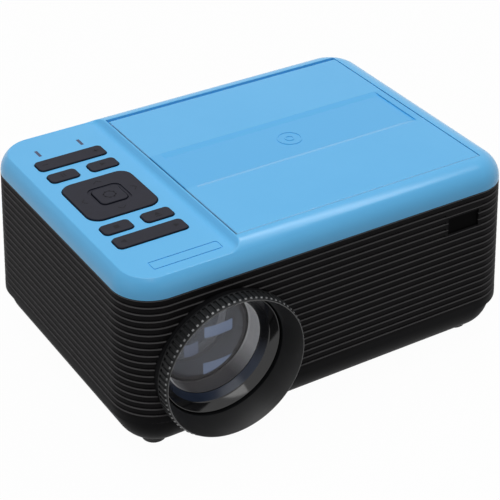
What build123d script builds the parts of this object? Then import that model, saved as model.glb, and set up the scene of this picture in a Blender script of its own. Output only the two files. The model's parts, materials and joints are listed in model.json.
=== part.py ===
from build123d import *
import math
import os

# Desktop projector with a top-loading disc player under its lid.
#
# Everything is drawn in millimetres about the middle of the line where the blue cover meets the
# ribbed wall: +X to the right, +Y to the back, +Z up, and the lens looks along -Y. save() then
# moves each piece so that the origin lies on the table, under the middle of the whole object.

# body
width = 265.0            # across the cover, left to right
depth = 190.7            # across the cover, front to back
plan_radius = 24.3       # its corners, seen from above
cover_height = 15.0      # the same as the radius of its rolled edge
skin = 2.5               # moulded walls
wall_height = 84.0
wall_skin = 3.0
wall_flare = 3.67        # how far the wall's foot stands out past its top
rib_pitch = 4.5
rib_count = 18
first_groove = -4.2      # height of the first groove's floor
groove_depth = 1.0
pan_height = 22.8
pan_step = 3.0           # how far the pan stands in from the wall's foot
pan_rounding = 21.0
foot_height = 4.0

# key panel on the left of the cover
panel_height = 11.5
panel_right = -59.5      # middle of the soft step up to the top
panel_middle = -95.3     # centre line of the keys
panel_sweep = 4.5        # hollow curve at the foot of the step
lip_radius = 1.0         # round ridge at its top
key_top = 12.5
bar_size = (45.0, 11.9)
small_size = (18.9, 10.5)
small_spread = 13.2      # small keys stand this far each side of the centre line
pad_size = 45.5
enter_size = 17.4
dish_size = 22.0         # the shallow dish in the pad round the enter key
key_gap = 0.5
key_rounding = 0.6
back_bar_y = 52.75
back_small_y = 35.8
pad_y = 1.15
front_small_y = -32.8
front_bar_y = -48.75
tilt_axis_height = 6.5   # trunnions of the rocking keys
switch_top = 3.9
stem_bottom = 5.0
board_top = 2.6

# lid and disc well
lid_left, lid_right = -56.0, 116.0
lid_front, lid_back = -78.7, 79.8
lid_skin = 2.6
lid_rounding = 0.6       # its top edges
barrel_radius = 3.5
disc_x = 30.0            # the disc turns about a line at this X, and Y = 0
well_radius = 61.5
well_floor = 1.2
deck_top = 7.2

# drive under the well
plate_top = -12.0
rod_y = 16.0
rod_height = -8.0
screw_y = -22.5
pickup_reach = 24.0      # the objective's distance from the spindle, at the inner end of its travel
pickup_travel = 34.0

# lens
lens_x = -75.1
lens_z = -52.9
ring_front = -110.0      # the hood's front rim
ring_back = -100.5
knurl_count = 80
glass_rim = -83.6        # front edge of the front lens
glass_back = -71.4
glass_gap = 0.05

pan_floor = -wall_height - pan_height
table = pan_floor - foot_height
pan_inside = pan_floor + skin
wall_foot = depth / 2 + wall_flare
origin = Pos(0, -(ring_front + wall_foot) / 2, -table)


def block(x, y, z):
    """A box between two limits on each axis."""
    spans = (x, y, z)
    return Pos(*[(low + high) / 2 for low, high in spans]) * Box(*[high - low for low, high in spans])


def centred(x, y, size_x, size_y, z):
    """A box about a point of the plan, between two heights."""
    return block((x - size_x / 2, x + size_x / 2), (y - size_y / 2, y + size_y / 2), z)


def upright(radius, x, y, z):
    """A round bar along Z between two heights."""
    return Pos(x, y, (z[0] + z[1]) / 2) * Cylinder(radius, z[1] - z[0])


def along_x(radius, x, y, z):
    """A round bar along X between two limits."""
    return Pos((x[0] + x[1]) / 2, y, z) * Rot(0, 90, 0) * Cylinder(radius, x[1] - x[0])


def along_y(radius, x, y, z):
    """A round bar along Y between two limits."""
    return Pos(x, (y[0] + y[1]) / 2, z) * Rot(-90, 0, 0) * Cylinder(radius, y[1] - y[0])


def rounded(size_x, size_y, radius, x, y, z):
    """An upright slab with rounded corners about a point of the plan, between two heights."""
    return Pos(x, y, z[0]) * extrude(RectangleRounded(size_x, size_y, radius), z[1] - z[0])


def turned(outline, x=0, y=0, z=0, about="Z"):
    """A solid turned from (radius, height) points, with its height along the named axis."""
    face = make_face(Polyline(*[(radius, 0, height) for radius, height in outline], close=True))
    lay = {"Z": Rot(0, 0, 0), "Y": Rot(-90, 0, 0), "X": Rot(0, 90, 0)}[about]
    return Pos(x, y, z) * lay * revolve(face, Axis.Z, 360)


def turned_on_lens(outline):
    """A solid turned from (radius, y) points about the lens axis."""
    return turned(outline, lens_x, 0, lens_z, about="Y")


def outset(height):
    """How far the wall's outer face stands out past the cover at a height."""
    return -wall_flare * height / wall_height


def save(name, piece):
    export_step(origin * piece, os.path.join("parts", name + ".step"))


# ---------------------------------------------------------------- body

def wall_path():
    """The cover's outline at the parting line, starting in the middle of the front."""
    x, y, r = width / 2, depth / 2, plan_radius
    cut = r * (1 - math.sqrt(0.5))
    return Wire([
        Line((0, -y, 0), (x - r, -y, 0)),
        ThreePointArc((x - r, -y, 0), (x - cut, cut - y, 0), (x, r - y, 0)),
        Line((x, r - y, 0), (x, y - r, 0)),
        ThreePointArc((x, y - r, 0), (x - cut, y - cut, 0), (x - r, y, 0)),
        Line((x - r, y, 0), (r - x, y, 0)),
        ThreePointArc((r - x, y, 0), (cut - x, y - cut, 0), (-x, y - r, 0)),
        Line((-x, y - r, 0), (-x, r - y, 0)),
        ThreePointArc((-x, r - y, 0), (cut - x, cut - y, 0), (r - x, -y, 0)),
        Line((r - x, -y, 0), (0, -y, 0)),
    ])


def wall_section():
    """The wall cut across: ribs outside, and a ledge at the foot that sits on the pan."""
    ledge_inside, ledge_thick = -2.3, 2.0
    points = [(0, 0)]
    for rib in range(rib_count):
        floor = first_groove - rib * rib_pitch
        upper, lower = floor + 0.8, floor - 1.2
        points += [(outset(upper), upper), (outset(floor) - groove_depth, floor), (outset(lower), lower)]
    ledge_top = -wall_height + ledge_thick
    points += [
        (wall_flare, -wall_height),
        (ledge_inside, -wall_height),
        (ledge_inside, ledge_top),
        (outset(ledge_top) - wall_skin, ledge_top),
        (-wall_skin, 0),
    ]
    return make_face(Polyline(*[(0, -depth / 2 - out, height) for out, height in points], close=True))


def wall_patch(x, z, inner, outer):
    """A slab that lies in the front wall, between two depths behind its outer face."""
    corners = []
    for height, back in ((z[0], outer), (z[1], outer), (z[1], inner), (z[0], inner)):
        corners.append((x[0], -depth / 2 - outset(height) + back, height))
    return extrude(make_face(Polyline(*corners, close=True)), x[1] - x[0], dir=(1, 0, 0))


window_x, window_z = (82.0, 105.0), (-22.0, -11.0)
window_frame_x, window_frame_z = (80.0, 107.0), (-25.0, -6.0)
rear_bay_x, rear_bay_z = (-108.0, 108.0), (-78.0, -12.0)
side_bay_y, side_bay_z = (0.0, 60.0), (-70.0, -20.0)
boss_x, boss_y = 113.0, 76.0
boss_radius, boss_height, screw_radius = 5.0, 12.0, 1.6


def corners_of(x, y):
    return [(sign_x * x, sign_y * y) for sign_x in (-1, 1) for sign_y in (-1, 1)]


def lens_hole():
    return along_y(45.2, lens_x, (-115, -85), lens_z)


def ribbed_wall():
    wall = sweep(wall_section(), path=wall_path())
    wall += wall_patch(window_frame_x, window_frame_z, wall_skin, 0)
    wall -= wall_patch(window_x, window_z, wall_skin + 1, -1)
    wall -= lens_hole()
    wall -= block(rear_bay_x, (85, 110), rear_bay_z)
    wall -= block((120, 145), side_bay_y, side_bay_z)
    for x, y in corners_of(boss_x, boss_y):
        reach = 19.0
        angle = math.degrees(math.atan2(y / abs(y), x / abs(x)))
        web = Pos(x, y, -wall_height + 4) * Rot(0, 0, angle) * Pos(reach / 2, 0, 0) * Box(reach, 3, 8)
        wall += upright(boss_radius, x, y, (-wall_height, boss_height - wall_height)) + web
        wall -= upright(screw_radius, x, y, (-wall_height - 1, boss_height - wall_height - 2))
    return wall


def pan_blank(inset, low, high):
    """The pan's outer or inner form, rounded underneath."""
    out = 2 * (wall_flare - pan_step - inset)
    blank = rounded(width + out, depth + out, plan_radius + out / 2, 0, 0, (low, high))
    return fillet(blank.edges().group_by(Axis.Z)[0], pan_rounding - inset)


board_posts = [(x, y) for x in (-14, 100) for y in (-70, -12, 12, 70)]
board_bottom = -98.0


def base_pan():
    inside = pan_blank(skin, pan_inside, -wall_height + 1)
    for x, y in corners_of(boss_x, boss_y):
        inside -= upright(boss_radius, x, y, (pan_floor, -wall_height))
    for x, y in board_posts:
        inside -= upright(3, x, y, (pan_floor, board_bottom))
    pan = pan_blank(0, pan_floor, -wall_height) - inside
    pan -= lens_hole()
    for x, y in corners_of(boss_x, boss_y):
        pan -= upright(screw_radius, x, y, (pan_floor - 1, -wall_height + 1))
        pan -= upright(3.4, x, y, (pan_floor - 1, pan_inside + 3))
    for row in range(6):
        pan -= block((-95, -55), (10 + 9 * row, 13.5 + 9 * row), (pan_floor - 1, pan_inside + 1))
    return pan


def base_screws():
    head_top = pan_inside + 3
    screw = [(0, 0), (3.0, 0), (3.0, 2.0), (screw_radius, 2.0), (screw_radius, 24), (0, 24)]
    return [turned(screw, x, y, head_top - 2.0) for x, y in corners_of(boss_x, boss_y)]


def rubber_feet():
    foot = [(0, table), (8.0, table), (9.0, table + 1), (9.0, pan_floor), (0, pan_floor)]
    return [turned(foot, x, y) for x, y in corners_of(102.0, 66.0)]


# ---------------------------------------------------------------- cover and keys

def cover_blank(inset):
    """The cover's outer or inner form: a rounded block whose top edge is one full roll."""
    roll = cover_height - inset
    blank = rounded(width - 2 * inset, depth - 2 * inset, plan_radius - inset, 0, 0, (-1, roll))
    return fillet(blank.edges().group_by(Axis.Z)[-1], roll)


def panel_recess(drop):
    """What is taken off over the key panel: flat below, with a soft slope up on its right."""
    slope = 4.0
    edge = panel_right + drop
    low = panel_height - drop
    left, far = -150.0, depth / 2 - 4.0
    floor = Plane.XY.offset(low) * Pos((left + edge - slope / 2) / 2, 0)
    lip = Plane.XY.offset(low + slope) * Pos((left + edge + slope / 2) / 2, 0)
    shapes = [
        floor * RectangleRounded(edge - slope / 2 - left, 2 * far, 8),
        lip * RectangleRounded(edge + slope / 2 - left, 2 * far + slope, 8 + slope / 2),
    ]
    cutter = loft(shapes)
    return fillet(cutter.edges().group_by(Axis.Z)[0], panel_sweep)


keys = {
    "back_left_key": (panel_middle - small_spread, back_small_y),
    "back_right_key": (panel_middle + small_spread, back_small_y),
    "front_left_key": (panel_middle - small_spread, front_small_y),
    "front_right_key": (panel_middle + small_spread, front_small_y),
}
bars = {"back_rocker_key": back_bar_y, "front_rocker_key": front_bar_y}
light_x = (-109.6, -81.0)
light_y = (65.2, 72.8)
key_board_x, key_board_y = (-123.0, -68.0), (-61.0, 75.0)


def seam(inset):
    """The lid's opening in the cover, and the same outline grown by the skirt round it."""
    return block(
        (lid_left - 1.2 - inset, lid_right + 0.5 + inset),
        (lid_front - 0.6 - inset, lid_back + 0.5 + inset),
        (deck_top, cover_height + 1))


def hinge_line():
    return lid_back - barrel_radius, cover_height - barrel_radius


def lugs(x, y, gap, thick):
    """A pair of ears under the panel that carry a rocking key's trunnions."""
    pair = None
    for side in (-1, 1):
        middle = y + side * (gap + thick / 2)
        ear = centred(x, middle, 4, thick, (4.2, panel_height - 1))
        pair = ear if pair is None else pair + ear
    return pair - along_y(1.25, x, (y - gap - thick - 1, y + gap + thick + 1), tilt_axis_height)


def top_cover():
    outer = cover_blank(0) - panel_recess(0)
    ridge = [edge for edge in outer.edges().filter_by(Axis.Y) if edge.center().Z > cover_height - 0.1
             and edge.center().X < lid_left]
    outer = fillet(ridge, lip_radius)
    inner = cover_blank(skin) - panel_recess(skin)
    shell = outer - inner
    shell += (seam(2.0) - seam(0)) & outer
    shell -= seam(0)
    shell -= block((-150, 150), (-120, 120), (-5, 0))
    grow = 2 * key_gap
    for x, y in keys.values():
        shell -= rounded(small_size[0] + grow, small_size[1] + grow, 3.5, x, y, (0, 20))
    for y in bars.values():
        shell -= rounded(bar_size[0] + grow, bar_size[1] + grow, 3.5, panel_middle, y, (0, 20))
        shell += lugs(panel_middle, y, 6.8, 2.7)
    shell -= rounded(pad_size + 1.2, pad_size + 1.2, 8.6, panel_middle, pad_y, (0, 20))
    shell += lugs(panel_middle, pad_y, 24.2, 2.4)
    for x in light_x:
        shell -= block((x - 1, x + 1), light_y, (0, 20))
    for x, y in ((-120, 63), (-71, 63), (-120, -58), (-71, -58)):
        shell += upright(2.5, x, y, (board_top, panel_height - 1))
    outline = rounded(44.5, 8.3, 1.5, -89.2, -78.1, (panel_height - 0.4, 20))
    shell -= outline - rounded(42.9, 6.7, 0.8, -89.2, -78.1, (0, 20))
    hinge_y, hinge_z = hinge_line()
    for x in ((lid_left - 4, lid_left), (lid_right, lid_right + 2.5)):
        shell -= along_x(1.5, x, hinge_y, hinge_z)
    return shell


def small_key(x, y):
    cap = rounded(*small_size, 3.0, x, y, (7.9, key_top))
    cap = fillet(cap.edges().group_by(Axis.Z)[-1], key_rounding)
    flange = centred(x, y, small_size[0] + 2, small_size[1] + 2, (7.9, 8.9))
    return cap + flange + centred(x, y, 4, 4, (stem_bottom, 7.9))


def rocker_key(y):
    cap = rounded(*bar_size, 3.0, panel_middle, y, (8.2, key_top))
    cap = fillet(cap.edges().group_by(Axis.Z)[-1], key_rounding)
    web = centred(panel_middle, y, 4, 9, (tilt_axis_height, 8.2))
    trunnion = along_y(1.2, panel_middle, (y - 9.5, y + 9.5), tilt_axis_height)
    key = cap + web + trunnion
    for side in (-17, 17):
        key += centred(panel_middle + side, y, 4, 4, (stem_bottom, 8.2))
    return key


cradle_inside, cradle_outside = 17.5, 20.5


def direction_pad():
    x, y = panel_middle, pad_y
    pad = rounded(pad_size, pad_size, 8.0, x, y, (9.6, key_top))
    pad = fillet(pad.edges().group_by(Axis.Z)[-1], key_rounding)
    pad -= rounded(dish_size, dish_size, 4.8, x, y, (key_top - 0.6, 20))
    pad -= rounded(enter_size + 1.2, enter_size + 1.2, 4, x, y, (0, 20))
    for side in (-1, 1):
        pad += centred(x + side * 15.25, y, 3.5, 5, (5.0, 9.6))
        pad += along_x(1.2, sorted((x + side * 16, x + side * cradle_outside)), y, tilt_axis_height)
        pad += centred(x + side * 21.7, y, 1.6, 6, (stem_bottom, 9.6))
        pad += centred(x + 5, y + side * 21.7, 4, 1.6, (stem_bottom, 9.6))
    return pad


def pad_cradle():
    """The ring that the pad rocks in, and that itself rocks between two ears of the cover."""
    x, y = panel_middle, pad_y
    size, hole = 2 * cradle_outside, 2 * cradle_inside
    ring = centred(x, y, size, size, (5.0, 8.0)) - centred(x, y, hole, hole, (0, 20))
    ring -= along_x(1.25, (x - 22, x + 22), y, tilt_axis_height)
    for side in (-1, 1):
        ring += along_y(1.2, x, sorted((y + side * 20, y + side * 26.6)), tilt_axis_height)
    return ring


def enter_key():
    x, y = panel_middle, pad_y
    cap = rounded(enter_size, enter_size, 3.2, x, y, (7.6, key_top + 0.2))
    cap = fillet(cap.edges().group_by(Axis.Z)[-1], key_rounding)
    flange = centred(x, y, enter_size + 2, enter_size + 2, (7.6, 8.6))
    return cap + flange + centred(x, y, 6, 6, (stem_bottom, 7.6))


def key_board():
    return block(key_board_x, key_board_y, (board_top - 1.6, board_top))


def key_switches():
    spots = list(keys.values()) + [(panel_middle, pad_y)]
    for y in bars.values():
        spots += [(panel_middle - 17, y), (panel_middle + 17, y)]
    for side in (-21.7, 21.7):
        spots += [(panel_middle + side, pad_y), (panel_middle + 5, pad_y + side)]
    return [centred(x, y, 4, 4, (board_top, switch_top)) for x, y in spots]


def status_lights():
    return [block((x - 1, x + 1), light_y, (board_top, panel_height)) for x in light_x]


# ---------------------------------------------------------------- lid and deck

def disc_lid():
    rim = 2.0
    hinge_y, hinge_z = hinge_line()
    underside = cover_height - lid_skin
    lid = block((lid_left, lid_right), (lid_front, hinge_y), (underside, cover_height))
    top_edges = lid.edges().group_by(Axis.Z)[-1].sort_by(Axis.Y)[:-1]
    lid = fillet(top_edges, lid_rounding)
    low = deck_top + 0.3
    skirt = block((lid_left, lid_right), (lid_front, hinge_y - 8), (low, underside))
    lid += skirt - block((lid_left + rim, lid_right - rim), (lid_front + rim, hinge_y), (0, 20))
    barrel = along_x(barrel_radius, (lid_left, lid_right), hinge_y, hinge_z)
    lid += chamfer(barrel.edges().filter_by(GeomType.CIRCLE), lid_rounding)
    band_back, band_front, drop, slope = 24.0, -22.4, 0.8, 3.0
    band = Polyline((0, band_back, 20), (0, band_back, cover_height - drop),
                    (0, band_front + slope, cover_height - drop), (0, band_front, cover_height),
                    (0, band_front, 20), close=True)
    lid -= Pos(lid_left + 7, 0, 0) * extrude(make_face(band), lid_right - lid_left - 12, dir=(1, 0, 0))
    for radius in (8.0, 3.0):
        ring = upright(radius, disc_x, 0.8, (cover_height - drop, cover_height - drop + 0.3))
        lid += ring - upright(radius - 0.8, disc_x, 0.8, (0, 20))
    for x in ((lid_left - 1, lid_left + 7), (lid_right - 8, lid_right + 1)):
        lid -= along_x(1.55, x, hinge_y, hinge_z)
    return lid


def lid_hinge_pins():
    hinge_y, hinge_z = hinge_line()
    spans = ((lid_left - 3.2, lid_left + 6), (lid_right - 7, lid_right + 2.5))
    return [along_x(1.5, x, hinge_y, hinge_z) for x in spans]


def disc_deck():
    bottom = well_floor - skin
    deck = block((-61, 120), (-84, 84), (deck_top - skin, deck_top))
    deck += upright(well_radius + skin, disc_x, 0, (bottom, deck_top))
    deck -= upright(well_radius, disc_x, 0, (well_floor, 20))
    for side in (-1, 1):
        notch_x = disc_x + side * well_radius
        deck += upright(12 + skin, notch_x, 0, (bottom, deck_top)) - upright(well_radius, disc_x, 0, (0, 20))
        deck -= upright(12, notch_x, 0, (well_floor, 20))
    deck -= upright(16, disc_x, 0, (-5, 5))
    nearest = disc_x + pickup_reach
    deck -= block((nearest - 6.5, nearest + pickup_travel + 5), (-10, 10), (-5, 5))
    deck -= upright(3.5, disc_x, magnet_y, (0, 20))
    return deck


magnet_y = lid_front + 2.0 + 2.0


def catch_magnet():
    return upright(3.5, disc_x, magnet_y, (deck_top - skin, deck_top))


def strike_plate():
    front = lid_front + 2.0
    return block((disc_x - 5, disc_x + 5), (front, front + 1.5), (deck_top + 0.3, cover_height - lid_skin))


# ---------------------------------------------------------------- disc drive

post_spots = [(disc_x - 50, -31), (disc_x - 50, 31), (disc_x + 50, -31), (disc_x + 50, 31)]
screw_x = (40.0, 110.0)


def drive_plate():
    plate = block((-28, 112), (-37, 37), (plate_top - 1.5, plate_top))
    for side in (-1, 1):
        for x in ((46, 48), (108, 110)):
            plate += block(x, sorted((side * 13, side * 19)), (plate_top, -5))
        plate -= along_x(1.5, (44, 112), side * rod_y, rod_height)
    plate += block((108, 110), (screw_y - 3, -19), (plate_top, -5))
    plate -= along_x(1.55, (107, 111), screw_y, rod_height)
    return plate


def drive_posts():
    return [upright(3.5, x, y, (plate_top, well_floor - skin)) for x, y in post_spots]


def spindle_motor():
    return upright(12, disc_x, 0, (plate_top, -4)) - upright(1.55, disc_x, 0, (-11, 0))


def disc_turntable():
    """The shaft, the platform that the disc lies on and the hub that centres it."""
    outline = [(0, -10), (1.5, -10), (1.5, -3.7), (9, -3.7), (9, 2.4), (14.5, 2.4), (14.5, 3.4),
               (7.4, 3.4), (7.4, 5.0), (6.2, 6.2), (0, 6.2)]
    return turned(outline, disc_x, 0, 0)


def guide_rods():
    return [along_x(1.5, (46, 110), side * rod_y, rod_height) for side in (-1, 1)]


def optical_pickup():
    x = disc_x + pickup_reach
    sled = block((x - 4.5, x + 17), (-19, 19), (-11, -4.5))
    sled += block((x, x + 6), (screw_y - 2.5, -19), (-10.5, -5.5))
    sled += upright(6, x + 1.5, 0, (-4.5, -1.6))
    for side in (-1, 1):
        sled -= along_x(1.55, (40, 120), side * rod_y, rod_height)
    sled -= along_x(1.55, (40, 120), screw_y, rod_height)
    return sled


def objective_lens():
    outline = [(0, -1.6), (2.5, -1.6), (2.5, -0.4), (1.6, 0.1), (0, 0.3)]
    return turned(outline, disc_x + pickup_reach + 1.5, 0, 0)


def lead_screw():
    return along_x(1.5, screw_x, screw_y, rod_height)


def sled_motor():
    body = along_x(4.3, (30, 44), screw_y, rod_height)
    body -= block((20, 60), (-40, 0), (-20, plate_top))
    return body - along_x(1.55, (39, 50), screw_y, rod_height)


# ---------------------------------------------------------------- projection

def focus_ring():
    """The turning hood: a cone inside, a knurled skirt outside and a sleeve that turns in the mount."""
    drum, rib_top = 45.3, 46.1
    rib_front, rib_back = -108.9, -101.3
    outline = [(40, -84), (42, -84), (42, -99.5), (45.6, -99.5), (46.2, ring_back), (46.2, rib_back),
               (drum, rib_back), (drum, -109.3), (45.0, ring_front), (44.6, ring_front), (40, -95)]
    teeth = []
    for tooth in range(knurl_count):
        for share, radius in ((-0.24, rib_top), (0.24, rib_top), (0.3, drum), (0.7, drum)):
            angle = 2 * math.pi * (tooth + share) / knurl_count
            teeth.append((radius * math.cos(angle), radius * math.sin(angle)))
    ribs = extrude(make_face(Polyline(*teeth, close=True)), rib_back - rib_front) - Cylinder(44, 30)
    ribs = Pos(lens_x, rib_front, lens_z) * Rot(-90, 0, 0) * ribs
    sloped = [(44, rib_front), (drum, rib_front), (rib_top + 0.1, rib_front + 1), (rib_top + 0.1, rib_back),
              (44, rib_back)]
    return turned_on_lens(outline) + (ribs & turned_on_lens(sloped))


def lens_mount():
    """The fixed collar that the hood turns on, with its foot on the pan."""
    tube = turned_on_lens([(42.05, -99.2), (45, -99.2), (45, -85), (47.5, -85), (47.5, -82), (42.05, -82)])
    across, heel = (lens_x - 18, lens_x + 18), (-75, -66)
    return tube + block(across, (-83, -66), (-100.5, -96)) + block(across, heel, (pan_inside, -96))


front_lens_edge, rear_lens_edge = 31.7, 24.0


def lens_cell():
    """The barrel that slides as the hood turns: two stepped cones in front, a cone between the lenses."""
    outline = [(39.2, -93), (39.2, -84), (33, -84), (33, -50), (rear_lens_edge, -50), (rear_lens_edge, -57),
               (24.6, -60), (29, -69), (29, glass_back), (front_lens_edge, glass_back),
               (front_lens_edge, glass_rim + 0.4), (32.2, glass_rim - 0.2), (34.9, -87.8), (35.3, -88.2),
               (38.6, -93)]
    return turned_on_lens(outline)


def lens_blank(edge, rim, bulge, back):
    """A lens with a round front and a flat back."""
    radius = edge - glass_gap
    curve = (radius ** 2 + bulge ** 2) / (2 * bulge)
    ball = Pos(lens_x, rim - bulge + curve, lens_z) * Sphere(curve)
    return along_y(radius, lens_x, (rim - bulge - 1, back), lens_z) & ball


def front_glass():
    return lens_blank(front_lens_edge, glass_rim, 6.0, glass_back)


def rear_glass():
    return lens_blank(rear_lens_edge, -57.0, 7.0, -51.0)


def projection_tube():
    tube = turned_on_lens([(33.05, -78), (37, -78), (37, -42), (33.05, -42)])
    foot = block((lens_x - 14, lens_x + 14), (-60, -48), (pan_inside, lens_z - 34))
    return tube + (foot - along_y(35, lens_x, (-70, -40), lens_z))


shelf_top = lens_z - 30.0
fan_y = (74.8, 89.8)


def optics_shelf():
    shelf = block((-106.5, -43.5), (-42, 86), (shelf_top - skin, shelf_top))
    for x in (-102, -48):
        for y in (-38, 68):
            shelf += centred(x, y, 8, 8, (pan_inside, shelf_top - skin))
    return shelf


def frame_block(half_x, half_z, y):
    return block((lens_x - half_x, lens_x + half_x), y, (lens_z - half_z, lens_z + half_z))


def panel_frame():
    return frame_block(38, 30, (-42, -37)) - frame_block(28, 21, (-50, -30))


def picture_panel():
    return frame_block(33, 27, (-37, -35.4))


def light_duct():
    return frame_block(36, 30, (-37, 5)) - frame_block(34, 28, (-40, 10))


def fresnel_plate():
    return frame_block(34, 28, (-20, -17.5))


def light_source():
    board = frame_block(30, 30, (5, 8))
    return board + frame_block(8, 8, (2, 5))


def heat_sink():
    sink = frame_block(30, 30, (8, 13))
    for fin in range(9):
        x = lens_x - 28.8 + 7.2 * fin
        sink += block((x - 0.8, x + 0.8), (13, 58), (lens_z - 30, lens_z + 30))
    return sink


def fan_frame():
    case = frame_block(30, 30, fan_y) - along_y(28, lens_x, (70, 95), lens_z)
    low = fan_y[0]
    for turn in range(3):
        strut = Rot(0, 120 * turn, 0) * block((-1.5, 1.5), (low, low + 1.5), (8, 29))
        case += Pos(lens_x, 0, lens_z) * strut
    return case + along_y(12, lens_x, (low, low + 1.5), lens_z) - along_y(1.55, lens_x, (70, 95), lens_z)


def fan_rotor():
    front = fan_y[0] + 1.9
    rotor = along_y(11.5, 0, (front, fan_y[1] - 0.8), 0) + along_y(1.5, 0, (fan_y[0], front), 0)
    for blade in range(7):
        wing = Pos(0, (front + fan_y[1]) / 2, 19) * Rot(0, 0, 40) * Box(1.2, 11, 16.5)
        rotor += Rot(0, blade * 360 / 7, 0) * wing
    return Pos(lens_x, 0, lens_z) * rotor


# ---------------------------------------------------------------- sockets, boards and sound

mains_at = (85.0, -58.0)
monitor_at = (42.0, -60.0)
video_at = (14.0, -60.0)
audio_spots = [(-2.0, -60.0), (-18.0, -60.0)]
phones_at = (14.0, -34.0)
bay_face = 92.3


def rear_panel():
    """The plate at the bottom of the rear bay, with a rim that lines the opening in the wall."""
    panel = block((-110, 110), (bay_face - skin, bay_face), (-80, -10))
    rim = block(rear_bay_x, (bay_face, 95), rear_bay_z)
    inside = ((rear_bay_x[0] + 2, rear_bay_x[1] - 2), (rear_bay_z[0] + 2, rear_bay_z[1] - 2))
    panel += rim - block(inside[0], (bay_face, 99), inside[1])
    for louvre in range(8):
        z = lens_z - 22.75 + 6.5 * louvre
        panel -= block((lens_x - 26, lens_x + 26), (85, 99), (z - 1.8, z + 1.8))
    panel -= centred_on_wall(mains_at, 27.5, 20)
    panel -= centred_on_wall(monitor_at, 17, 8.4)
    for x, z in audio_spots + [video_at, phones_at]:
        panel -= along_y(4.2, x, (85, 99), z)
    return panel


def centred_on_wall(spot, size_x, size_z, y=(85, 99)):
    x, z = spot
    return block((x - size_x / 2, x + size_x / 2), y, (z - size_z / 2, z + size_z / 2))


def mains_inlet():
    body = centred_on_wall(mains_at, 27.5, 20, (74, bay_face)) + centred_on_wall(mains_at, 31, 23.5, (bay_face, 94.3))
    body -= centred_on_wall(mains_at, 24, 16.5, (78, 99))
    x, z = mains_at
    for pin_x, pin_z in ((0, 3.5), (-7, -3.5), (7, -3.5)):
        body += centred_on_wall((x + pin_x, z + pin_z), 2, 4, (77, 90))
    return body


def monitor_socket():
    shell = centred_on_wall(monitor_at, 17, 8.4, (80, 97.8)) - centred_on_wall(monitor_at, 16, 7.4, (bay_face, 99))
    return shell + centred_on_wall(monitor_at, 30.8, 12.5, (76, bay_face - skin))


def phono_socket(x, z):
    barrel = turned([(1.7, 84), (4.15, 84), (4.15, 98.6), (1.7, 98.6)], x, 0, z, about="Y")
    return barrel + block((x - 5.5, x + 5.5), (78, bay_face - skin), (z - 5.5, z + 5.5)) - along_y(1.7, x, (84, 99), z)


def phones_socket():
    x, z = phones_at
    collar = turned([(1.8, 84), (4.15, 84), (4.15, 93.8), (1.8, 93.8)], x, 0, z, about="Y")
    return collar + block((x - 5, x + 5), (80, bay_face - skin), (z - 5, z + 5)) - along_y(1.8, x, (84, 99), z)


def side_grille():
    inner = 126.9
    y, z = side_bay_y, side_bay_z
    plate = block((inner, inner + skin), (y[0] - 2, y[1] + 2), (z[0] - 2, z[1] + 2))
    plate += block((inner + skin, 133.2), y, z) - block((inner + skin, 140), (y[0] + 2, y[1] - 2), (z[0] + 2, z[1] - 2))
    for slot in range(8):
        middle = y[0] + 9 + 6 * slot
        plate -= block((120, 140), (middle - 1.5, middle + 1.5), (z[0] + 5, z[1] - 5))
    return plate


def loudspeaker():
    outline = [(0, 0), (12, 0), (12, 7), (24, 13), (26, 13), (26, 15.9), (23, 15.9), (10, 8.5), (0, 8.5)]
    middle_y, middle_z = sum(side_bay_y) / 2, sum(side_bay_z) / 2
    return turned(outline, 111, middle_y, middle_z, about="X")


main_board_y, power_board_y = (-78.0, -4.0), (4.0, 80.0)
board_x = (-20.0, 106.0)


def circuit_board(y):
    return block(board_x, y, (board_bottom, board_bottom + 1.6))


def main_board_chips():
    top = board_bottom + 1.6
    chips = ((20, -50, 28, 28, 3), (70, -50, 24, 24, 3), (46, -20, 14, 20, 2), (95, -25, 12, 30, 9))
    return [centred(x, y, size_x, size_y, (top, top + high)) for x, y, size_x, size_y, high in chips]


def power_parts():
    """The transformer and a row of capacitors."""
    top = board_bottom + 1.6
    capacitors = [upright(8, 4, 20 + 20 * spot, (top, top + 26)) for spot in range(3)]
    return [centred(52, 34, 42, 34, (top, top + 30))] + capacitors


def remote_window():
    return wall_patch(window_x, window_z, wall_skin, 1.0)


def remote_receiver():
    z = (-21.0, -12.0)
    front = wall_patch((88, 99), z, wall_skin + 6, wall_skin)
    return front


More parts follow.
